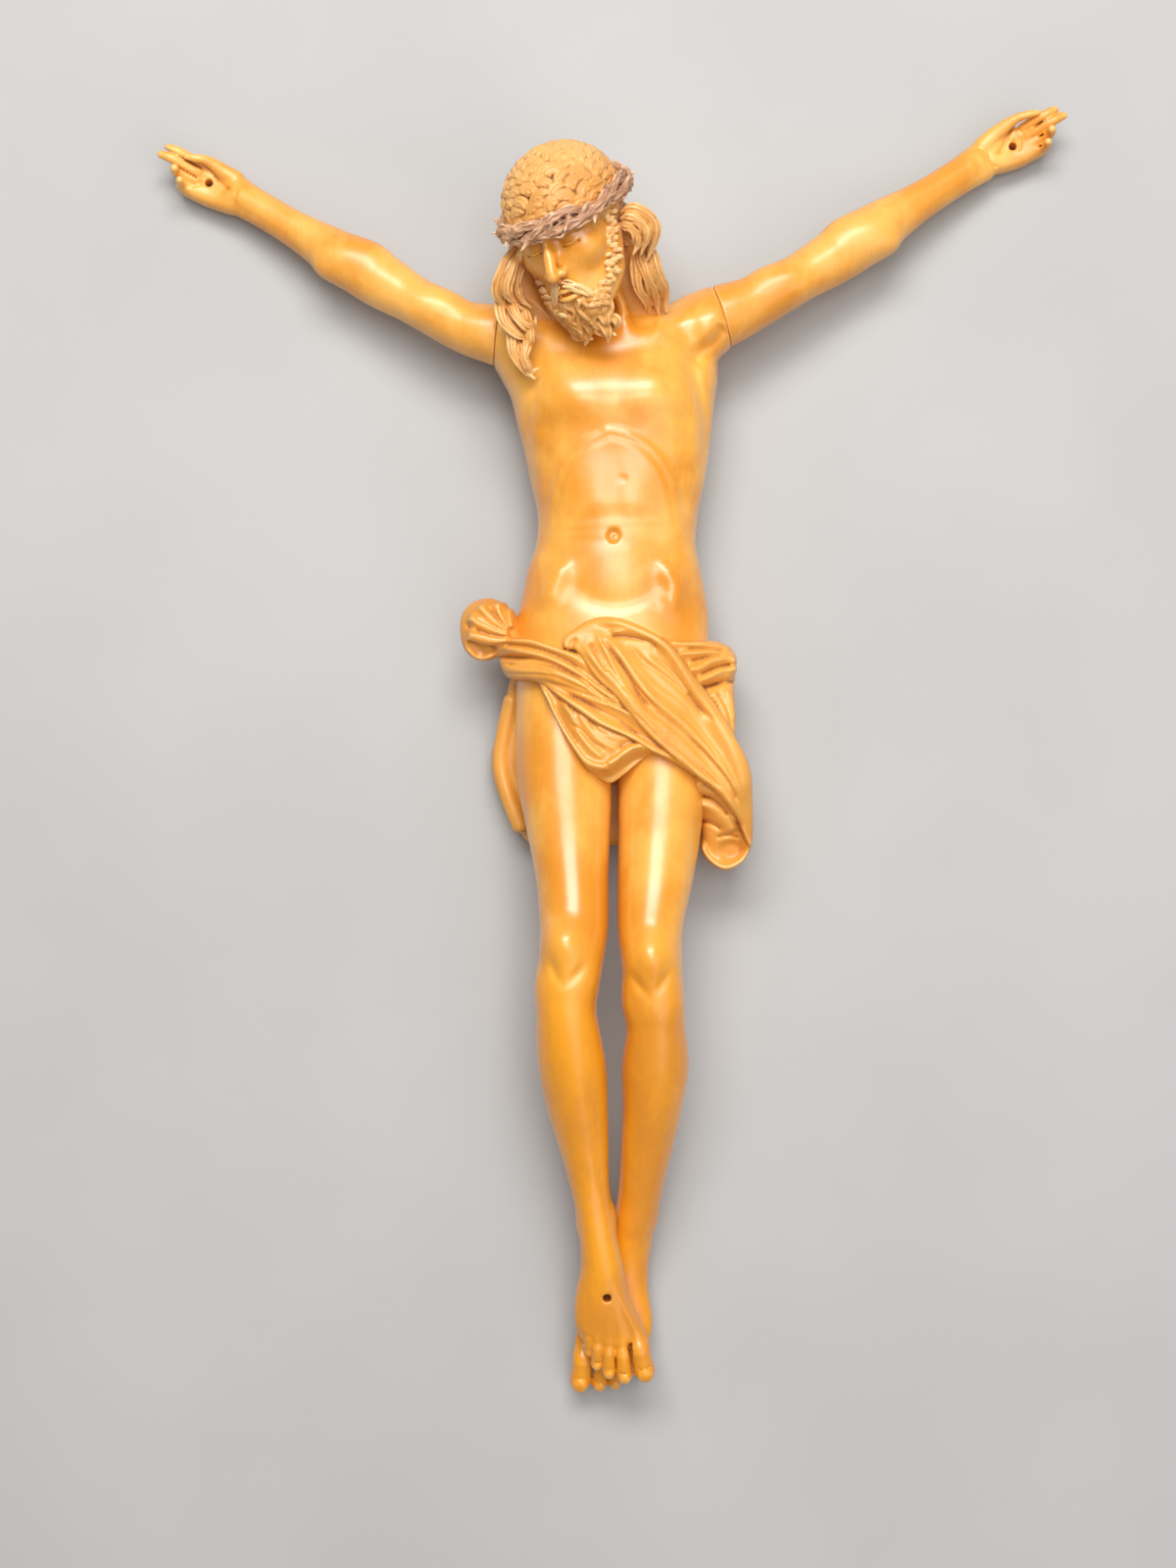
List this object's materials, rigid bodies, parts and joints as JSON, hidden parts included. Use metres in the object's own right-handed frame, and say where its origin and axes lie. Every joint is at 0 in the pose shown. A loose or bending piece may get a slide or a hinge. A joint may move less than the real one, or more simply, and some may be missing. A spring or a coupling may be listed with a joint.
{
  "type": "crucifix corpus figure",
  "caption": "Carved boxwood corpus figure for a crucifix, arms spread, knees bent and feet crossed, with a crown of thorns and a knotted loincloth.",
  "frame": {"origin": "under the middle of the figure's box, on the plane that it lies on", "axes": "+Z out of the figure's front, +Y towards its head, +X towards its left hand"},
  "size_m": [0.2978, 0.4194, 0.0777],
  "materials": {
    "boxwood": "satin varnish"
  },
  "bodies": {
    "root": {"corpus": "boxwood", "arm_right": "boxwood", "arm_left": "boxwood"}
  },
  "joints": []
}
